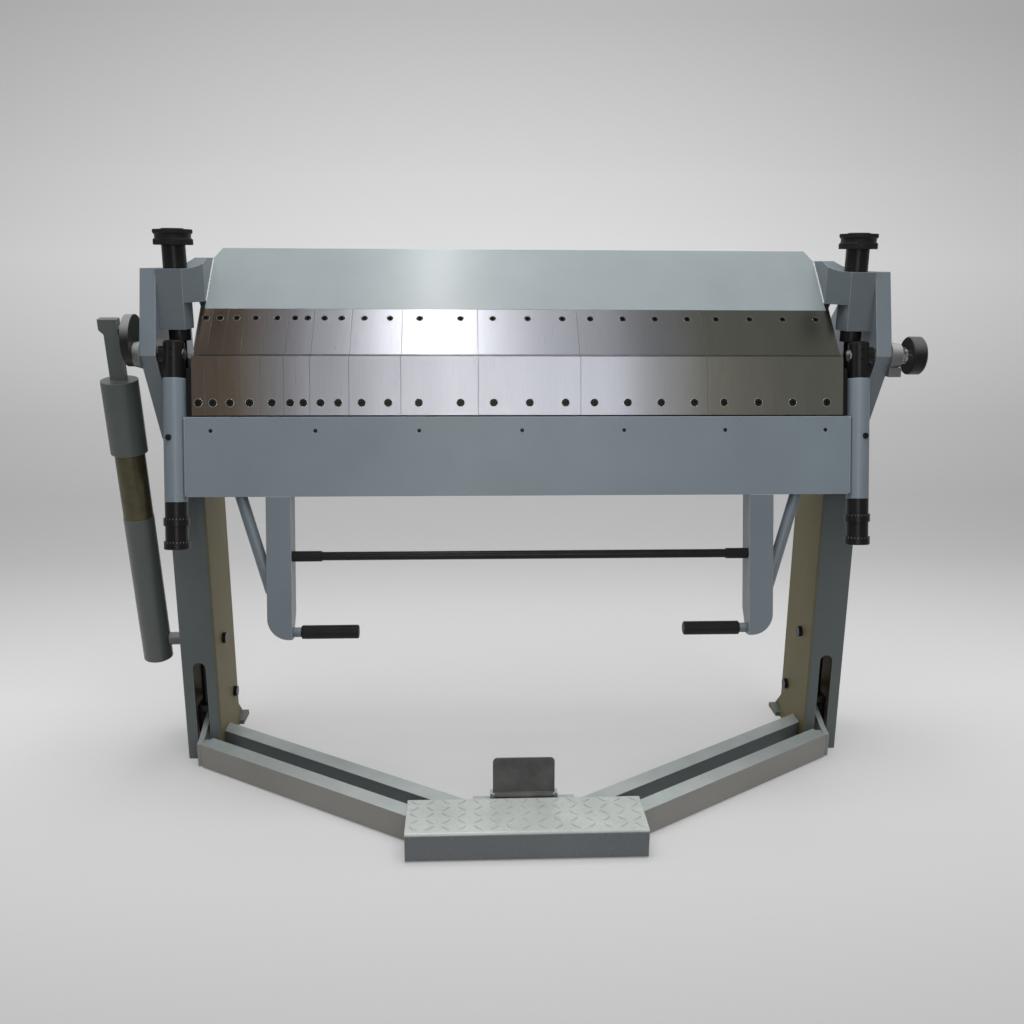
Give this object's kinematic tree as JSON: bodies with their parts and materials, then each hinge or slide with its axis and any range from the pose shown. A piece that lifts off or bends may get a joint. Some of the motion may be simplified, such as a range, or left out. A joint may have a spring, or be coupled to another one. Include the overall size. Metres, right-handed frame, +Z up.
{
  "type": "box and pan folder",
  "caption": "Foot-operated box-and-pan sheet metal folder with segmented clamping and folding beams, pedal, handles and a counterbalance strut.",
  "frame": {"origin": "on the floor, midway between the two rear floor bolt holes, on the machine's centre plane", "axes": "+X to the right of the operator, +Y away from the operator to the machine's rear, +Z up"},
  "size_m": [1.6358, 0.64, 1.1363],
  "materials": {
    "paint": "semi-gloss grey paint with a fine orange peel",
    "light_paint": "pale grey paint with a fine orange peel",
    "tread_paint": "pale grey paint over chequer plate",
    "ground_steel": "ground and polished across",
    "bright_steel": "bright turned steel",
    "black_steel": "blackened, slightly glossy",
    "black_plastic": "satin black plastic",
    "bronze": "plain turned bronze",
    "brass_tube": "dull olive brass"
  },
  "bodies": {
    "frame": {"column_left": "paint", "column_right": "paint", "cheek_left": "paint", "cheek_right": "paint", "lower_beam": "paint", "table_blade": "ground_steel", "base_tube_left": "paint", "base_tube_right": "paint", "base_cross_tube": "paint", "pivot_bosses": "paint", "pivot_bushes": "bronze", "column_bolts": "black_steel"},
    "clamping_beam": {"upper_beam": "paint", "upper_face_plate": "light_paint", "end_bracket_left": "paint", "end_bracket_right": "paint", "lift_rod_left": "black_steel", "lift_rod_right": "black_steel", "upper_narrow_segments": "ground_steel", "upper_segment_75": "ground_steel", "upper_segment_100": "ground_steel", "upper_segment_150": "ground_steel", "upper_segment_200": "ground_steel", "upper_segment_250": "ground_steel", "upper_segment_270": "ground_steel", "upper_segment_screws": "black_steel"},
    "knob_left": {"knob_left": "black_plastic"},
    "knob_right": {"knob_right": "black_plastic"},
    "folding_beam": {"apron_beam": "paint", "apron_backing": "black_steel", "end_tube_left": "paint", "end_tube_right": "paint", "knuckle_left": "black_steel", "knuckle_right": "black_steel", "fold_narrow_segments": "ground_steel", "fold_segment_75": "ground_steel", "fold_segment_100": "ground_steel", "fold_segment_150": "ground_steel", "fold_segment_200": "ground_steel", "fold_segment_250": "ground_steel", "fold_segment_270": "ground_steel", "fold_segment_screws": "black_steel", "apron_grub_screws": "black_steel", "handle_arm_left": "paint", "handle_arm_right": "paint", "handle_rods": "paint", "handle_grips": "black_plastic", "crossbar": "black_steel", "crank_disc": "black_steel", "pivot_pin_right": "bright_steel"},
    "side_knob": {"side_knob": "black_plastic"},
    "adjuster_left": {"adjuster_left": "black_steel"},
    "adjuster_right": {"adjuster_right": "black_steel"},
    "pedal": {"pedal_tread": "tread_paint", "pedal_bar_left": "paint", "pedal_bar_right": "paint"},
    "latch": {"latch_plate": "black_steel"},
    "strut_lower": {"strut_lower_tube": "paint", "strut_guide": "brass_tube"},
    "strut_upper": {"strut_upper_tube": "paint"}
  },
  "joints": [
    {"name": "fold", "type": "hinge", "parent": "frame", "child": "folding_beam", "pos_m": [0, -0.282, 0.9], "axis": [-1, 0, 0], "range_deg": [0, 135]},
    {"name": "clamp_lift", "type": "slide", "parent": "frame", "child": "clamping_beam", "axis": [0, 0, 1], "range_m": [0, 0.051]},
    {"name": "knob_left_turn", "type": "hinge", "parent": "clamping_beam", "child": "knob_left", "pos_m": [-0.671, -0.232, 1.12], "axis": [0, 0, 1], "continuous": true},
    {"name": "knob_right_turn", "type": "hinge", "parent": "clamping_beam", "child": "knob_right", "pos_m": [0.671, -0.232, 1.12], "axis": [0, 0, 1], "continuous": true},
    {"name": "adjuster_left_turn", "type": "hinge", "parent": "folding_beam", "child": "adjuster_left", "pos_m": [-0.671, -0.34633, 0.60697], "axis": [0, -0.2079, -0.9781], "continuous": true},
    {"name": "adjuster_right_turn", "type": "hinge", "parent": "folding_beam", "child": "adjuster_right", "pos_m": [0.671, -0.34633, 0.60697], "axis": [0, -0.2079, -0.9781], "continuous": true},
    {"name": "side_knob_turn", "type": "hinge", "parent": "folding_beam", "child": "side_knob", "pos_m": [0.775, -0.282, 0.9], "axis": [1, 0, 0], "continuous": true},
    {"name": "pedal_press", "type": "hinge", "parent": "frame", "child": "pedal", "pos_m": [0, -0.065, 0.1], "axis": [-1, 0, 0], "range_deg": [0, 30]},
    {"name": "latch_press", "type": "hinge", "parent": "frame", "child": "latch", "pos_m": [0, -0.485, 0.059], "axis": [-1, 0, 0], "range_deg": [0, 25], "stiffness_Nm_per_rad": 0.8, "springref_deg": -5.73},
    {"name": "strut_swing", "type": "hinge", "parent": "frame", "child": "strut_lower", "pos_m": [-0.802, -0.132, 0.259], "axis": [1, 0, 0], "range_deg": [0, 7.09]},
    {"name": "strut_slide", "type": "slide", "parent": "strut_lower", "child": "strut_upper", "axis": [0, 0.1449, -0.9895], "range_m": [0, 0.0947]}
  ],
  "couplings": [
    {"joint": "pedal_press", "follows": "clamp_lift", "rad_per_m": 10.247},
    {"joint": "strut_swing", "follows": "fold", "ratio": 0.050326},
    {"joint": "strut_slide", "follows": "fold", "m_per_rad": 0.039756}
  ]
}
